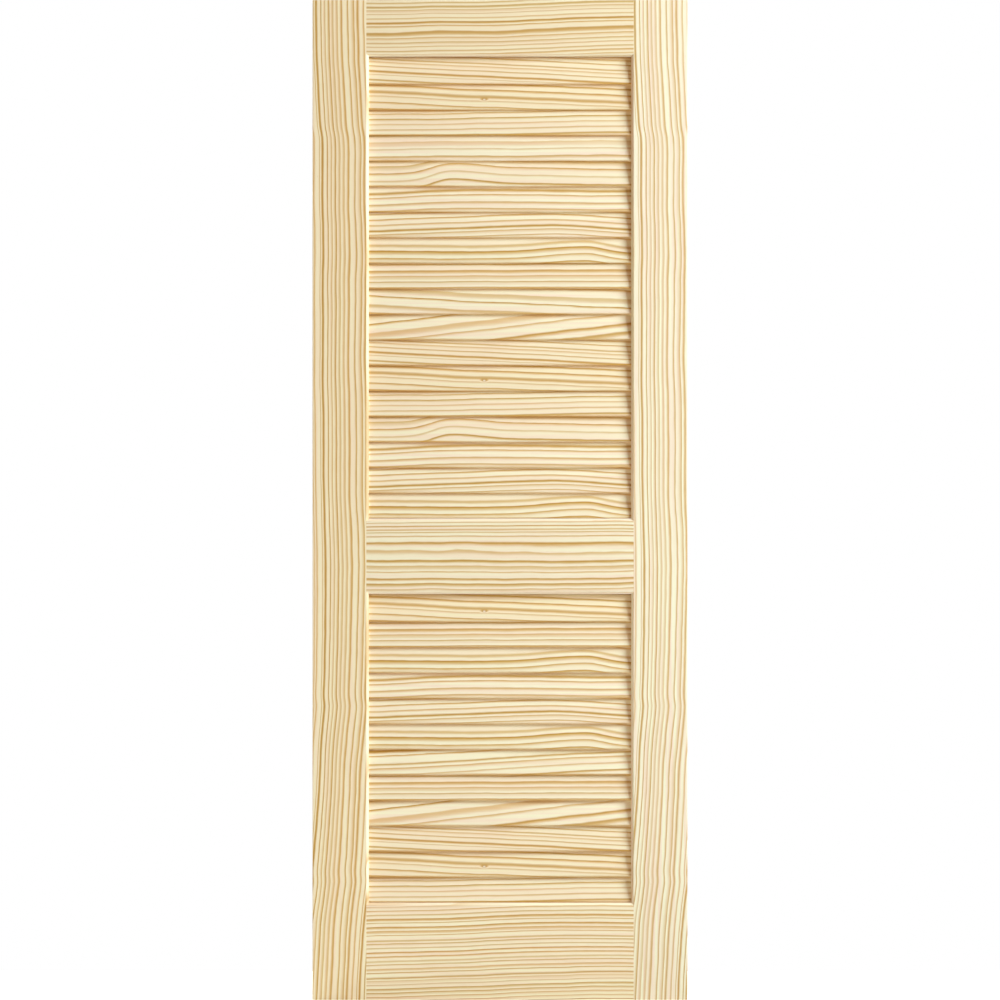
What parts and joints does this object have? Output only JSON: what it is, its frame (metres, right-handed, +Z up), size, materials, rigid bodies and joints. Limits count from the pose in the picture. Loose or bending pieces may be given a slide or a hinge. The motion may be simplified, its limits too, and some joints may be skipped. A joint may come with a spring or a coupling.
{
  "type": "louvered interior door",
  "caption": "Bare pine interior door slab: stiles and rails with a bevelled edge round two fields of fixed slanted slats, dowelled at the corners.",
  "frame": {"origin": "middle of the bottom edge, half way through the thickness", "axes": "+Z up the door, +X to the right seen from the front, -Y out of the front face, which the slats slope down towards"},
  "size_m": [0.762, 0.0348, 2.032],
  "materials": {
    "pine_stile": "bare sanded pine, upright grain",
    "pine_rail": "bare sanded pine, level grain",
    "pine_slat": "bare sanded pine, level grain",
    "dowel_beech": "fluted hardwood dowel"
  },
  "bodies": {
    "root": {"left_stile": "pine_stile", "right_stile": "pine_stile", "top_rail": "pine_rail", "top_left_dowels": "dowel_beech", "top_right_dowels": "dowel_beech", "lock_rail": "pine_rail", "lock_left_dowels": "dowel_beech", "lock_right_dowels": "dowel_beech", "bottom_rail": "pine_rail", "bottom_left_dowels": "dowel_beech", "bottom_right_dowels": "dowel_beech", "upper_slat_01": "pine_slat", "upper_slat_02": "pine_slat", "upper_slat_03": "pine_slat", "upper_slat_04": "pine_slat", "upper_slat_05": "pine_slat", "upper_slat_06": "pine_slat", "upper_slat_07": "pine_slat", "upper_slat_08": "pine_slat", "upper_slat_09": "pine_slat", "upper_slat_10": "pine_slat", "upper_slat_11": "pine_slat", "upper_slat_12": "pine_slat", "upper_slat_13": "pine_slat", "upper_slat_14": "pine_slat", "upper_slat_15": "pine_slat", "upper_slat_16": "pine_slat", "upper_slat_17": "pine_slat", "upper_slat_18": "pine_slat", "lower_slat_01": "pine_slat", "lower_slat_02": "pine_slat", "lower_slat_03": "pine_slat", "lower_slat_04": "pine_slat", "lower_slat_05": "pine_slat", "lower_slat_06": "pine_slat", "lower_slat_07": "pine_slat", "lower_slat_08": "pine_slat", "lower_slat_09": "pine_slat", "lower_slat_10": "pine_slat", "lower_slat_11": "pine_slat", "lower_slat_12": "pine_slat"}
  },
  "joints": []
}
